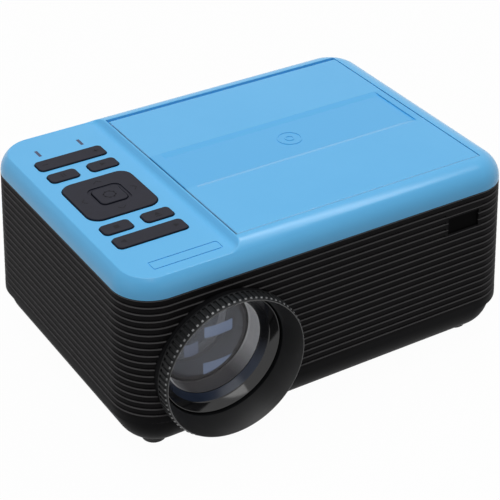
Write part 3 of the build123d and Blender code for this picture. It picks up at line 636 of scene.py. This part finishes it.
def makeWindowReflections():
    look = windowReflections
    mesh = bmesh.new()
    for (middleX, middleZ), (across, high) in look["places"]:
        rows = []
        for step in range(look["steps"] + 1):
            share = step / look["steps"] * 2 - 1
            column = []
            for side in (-1, 0, 1):
                x = middleX + across / 2 * share
                z = middleZ + high / 2 * side + look["sag"] * (share ** 2 - 1) / 2
                over = Vector((x, z)).length / look["reach"]
                x, z = (x / over, z / over) if over > 1 else (x, z)
                column.append(mesh.verts.new((lensX + x * mm, hoodLow.y + look["depth"] * mm, lensZ + z * mm)))
            rows.append(column)
        for here, there in zip(rows, rows[1:]):
            for side in range(2):
                mesh.faces.new((here[side], there[side], there[side + 1], here[side + 1]))
    bmesh.ops.dissolve_degenerate(mesh, edges=mesh.edges, dist=1e-6)
    ready = readyMesh("windowReflections", mesh, outward=False)
    addPiece("windowReflections", ready, "lens_cell", ["windowReflectionGlow", "windowReflectionDim"])
    for face in ready.polygons:
        face.material_index = int(face.center.x < lensX - look["dimLeft"] * mm)


makeWindowReflections()
print("window images made")

# faint generic signs on the keys: a shape, its turn in degrees, and its place in millimetres from the key's middle
chevron = [(-1.5, -2.6), (-0.5, -2.6), (1.7, 0), (-0.5, 2.6), (-1.5, 2.6), (0.7, 0)]
triangle = [(-1.5, -1.9), (1.9, 0), (-1.5, 1.9)]
dash = [(-1.9, -0.35), (1.9, -0.35), (1.9, 0.35), (-1.9, 0.35)]
square = [(-1.6, -1.6), (1.6, -1.6), (1.6, 1.6), (-1.6, 1.6)]


def around(shape, count, radius, start=0):
    # the shape, turned with its place, at even steps round a circle
    placed = []
    for step in range(count):
        turn = 360 * step / count
        angle = math.radians(turn + start)
        placed.append((shape, turn, (radius * math.cos(angle), radius * math.sin(angle))))
    return placed


signs = {
    "thick": 0.06,
    "keys": {
        "direction_pad": around(chevron, 4, 16.6),
        "enter_key": around(dash, 8, 3.4, 90),
        "back_rocker_key": [(dash, 0, (-17, 0)), (dash, 0, (17, 0)), (dash, 90, (17, 0))],
        "front_rocker_key": [(triangle, 180, (-17, 0)), (triangle, 0, (17, 0))],
        "back_left_key": [(dash, 90, (-0.9, 0)), (dash, 90, (0.9, 0))],
        "back_right_key": [(triangle, 0, (0, 0))],
        "front_left_key": [(square, 0, (0, 0))],
        "front_right_key": [(triangle, 90, (0, 0.6)), (dash, 0, (0, -2.2))],
    },
}


def makeSigns():
    thick = signs["thick"] * mm
    for key, shapes in signs["keys"].items():
        low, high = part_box(key)
        middle = (low + high) / 2
        mesh = bmesh.new()
        for shape, turn, (awayX, awayY) in shapes:
            cos, sin = math.cos(math.radians(turn)), math.sin(math.radians(turn))
            corners = [mesh.verts.new((middle.x + (awayX + x * cos - y * sin) * mm,
                                       middle.y + (awayY + x * sin + y * cos) * mm, high.z + thick / 2))
                       for x, y in shape]
            raised = bmesh.ops.extrude_face_region(mesh, geom=[mesh.faces.new(corners)])
            sunk = [item for item in raised["geom"] if isinstance(item, bmesh.types.BMVert)]
            bmesh.ops.translate(mesh, verts=sunk, vec=(0, 0, -thick))
        addPiece(key + "Signs", readyMesh(key + "Signs", mesh), key, ["keyMark"])


makeSigns()
print("key signs made")

# painted shade: a dark rubber-black strip at the bottom of the seam on the lid's left stands for the shade in the gap
gapShade = {"wide": 1.0, "high": 1.2, "below": 1.5, "gap": 0.08, "front": 0.2, "back": 12.0, "edge": 0.25}


def makeGapShade():
    low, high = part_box("disc_lid")
    top, right = coverHigh.z - gapShade["below"] * mm, low.x - gapShade["gap"] * mm
    bottom, left = top - gapShade["high"] * mm, right - gapShade["wide"] * mm
    outline = softened([(left, top), (right, top), (right, bottom), (left, bottom)], gapShade["edge"] * mm)
    ends = low.y + gapShade["front"] * mm, high.y - gapShade["back"] * mm
    mesh = barMesh("lidGapShade", [[(x, y, z) for x, z in outline] for y in ends])
    addPiece("lidGapShade", mesh, "projector_body", ["rubberBlack"])


makeGapShade()
print("lid seal made")

# the slope in which the band across the lid runs out at its back; left and right are from the lid's ends
bandSlope = {"left": 7.0, "right": 5.0, "top": 0.01, "run": 5.0}


def makeBandSlope():
    low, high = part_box("disc_lid")
    back, floor = middleY + lidBand["back"] * mm, coverHigh.z - lidBand["depth"] * mm
    section = [(back, coverHigh.z - bandSlope["top"] * mm), (back - bandSlope["run"] * mm, floor), (back, floor)]
    ends = low.x + bandSlope["left"] * mm, high.x - bandSlope["right"] * mm
    mesh = barMesh("bandSlope", [[(x, y, z) for y, z in section] for x in ends])
    addPiece("bandSlope", mesh, "disc_lid", ["lidBlue"])


makeBandSlope()
print("band slope made")

# the plain band over the wall's foot, below the last groove; its section is (outward, up) from the foot's outer edge
footBand = {
    "corner": 27.97,
    "section": [(-1.4076, 4.75), (-0.1576, 4.75), (0, 0.5), (0, -0.02), (-2.9, -0.02)],
    "hole": 45.2,             # radius of the lens hole that it stops at
    "steps": 32,
}


def bandLine(out, up):
    # one line round the wall, from the right edge of the lens hole to its left edge
    low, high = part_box("ribbed_wall")
    z = low.z + up
    middle, half = (low + high) / 2, (high - low) / 2
    radius = footBand["corner"] * mm + out
    straightX, straightY = half.x + out - radius, half.y + out - radius
    gap = math.sqrt((footBand["hole"] * mm) ** 2 - (z - lensZ) ** 2)
    pastCorner = min(0, (lensX - gap - middle.x + straightX) / radius)
    ends = [0, 90, 180, 360 - math.degrees(math.acos(pastCorner))]
    points = [(lensX + gap, middle.y - half.y - out, z)]
    for corner, (signX, signY) in enumerate(((1, -1), (1, 1), (-1, 1), (-1, -1))):
        start = 90 * corner - 90
        for step in range(footBand["steps"] + 1):
            angle = math.radians(start + (ends[corner] - start) * step / footBand["steps"])
            points.append((middle.x + signX * straightX + radius * math.cos(angle),
                           middle.y + signY * straightY + radius * math.sin(angle), z))
    return points


def makeFootBand():
    lines = [bandLine(out * mm, up * mm) for out, up in footBand["section"]]
    addPiece("footBand", barMesh("footBand", list(zip(*lines))), "projector_body", ["smoothBlack"])


makeFootBand()
print("foot band made")

# rounded corner pads beside the rubber feet, out where the pan's rounding starts
cornerPads = {"x": 111.0, "y": 73.5, "radius": 8.2, "flare": 0.8, "high": 6.6, "rounding": 1.6, "turns": 40}


def makeCornerPads():
    pads = cornerPads
    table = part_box("rubber_feet")[0].z
    foot, top = (pads["radius"] - pads["flare"]) * mm, pads["radius"] * mm
    mesh = bmesh.new()
    for signX in (-1, 1):
        for signY in (-1, 1):
            pad = bmesh.ops.create_cone(mesh, cap_ends=True, segments=pads["turns"], radius1=foot, radius2=top,
                                        depth=pads["high"] * mm)
            place = (signX * pads["x"] * mm, middleY + signY * pads["y"] * mm, table + pads["high"] * mm / 2)
            bmesh.ops.translate(mesh, verts=pad["verts"], vec=place)
    under = [edge for edge in mesh.edges if all(corner.co.z < table + 0.1 * mm for corner in edge.verts)]
    bmesh.ops.bevel(mesh, geom=under, offset=pads["rounding"] * mm, segments=3, affect="EDGES", profile=0.5)
    addPiece("cornerPads", readyMesh("cornerPads", mesh, outward=False), "projector_body", ["rubberBlack"])


makeCornerPads()
print("corner pads made")
